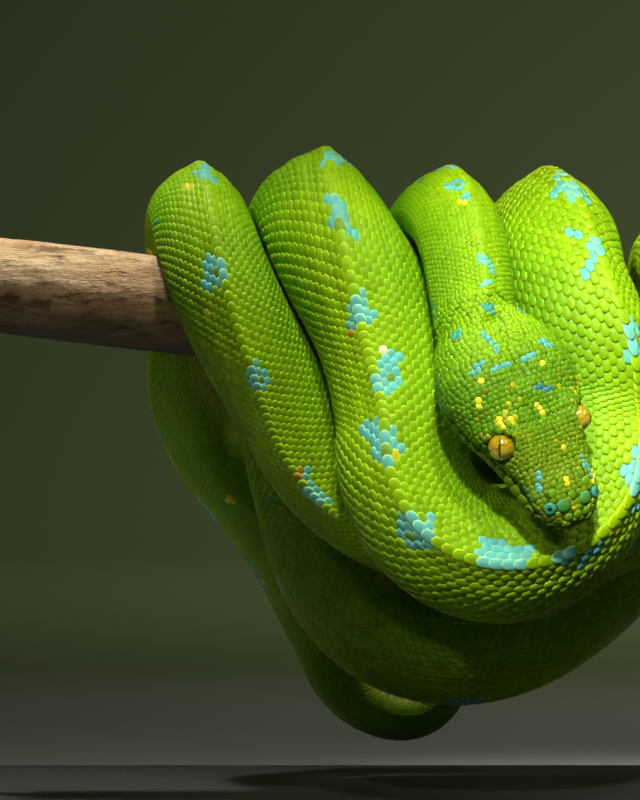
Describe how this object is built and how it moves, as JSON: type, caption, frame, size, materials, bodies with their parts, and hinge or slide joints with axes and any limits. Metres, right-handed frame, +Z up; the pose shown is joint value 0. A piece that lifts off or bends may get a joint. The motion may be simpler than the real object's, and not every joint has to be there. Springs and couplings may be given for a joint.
{
  "type": "coiled tree python display model",
  "caption": "Life-size green tree python coiled in hanging loops over a short cut length of branch, held above a flat display base by short rods.",
  "frame": {"origin": "middle of the flat underside of the display base, at floor level", "axes": "+X along the branch, to the right when one faces the side that the head hangs on; +Y away from that side; +Z up"},
  "size_m": [0.268, 0.166, 0.1734],
  "materials": {
    "scaled_skin": "satin, painted scales",
    "eye": "polished",
    "bark": "rough bark",
    "stand_black": "satin black paint",
    "stand_steel": "brushed"
  },
  "bodies": {
    "root": {"head": "scaled_skin", "lower_jaw": "scaled_skin", "neck": "scaled_skin", "trunk_01": "scaled_skin", "trunk_02": "scaled_skin", "trunk_03": "scaled_skin", "trunk_04": "scaled_skin", "trunk_05": "scaled_skin", "trunk_06": "scaled_skin", "trunk_07": "scaled_skin", "trunk_08": "scaled_skin", "trunk_09": "scaled_skin", "trunk_10": "scaled_skin", "trunk_11": "scaled_skin", "tail": "scaled_skin", "eye_left": "eye", "eye_right": "eye", "perch": "bark", "stand_base": "stand_black", "stand_foot_left": "stand_steel", "stand_foot_right": "stand_steel", "stand_rod_left": "stand_steel", "stand_rod_right": "stand_steel", "stand_saddle_left": "stand_steel", "stand_saddle_right": "stand_steel"}
  },
  "joints": []
}
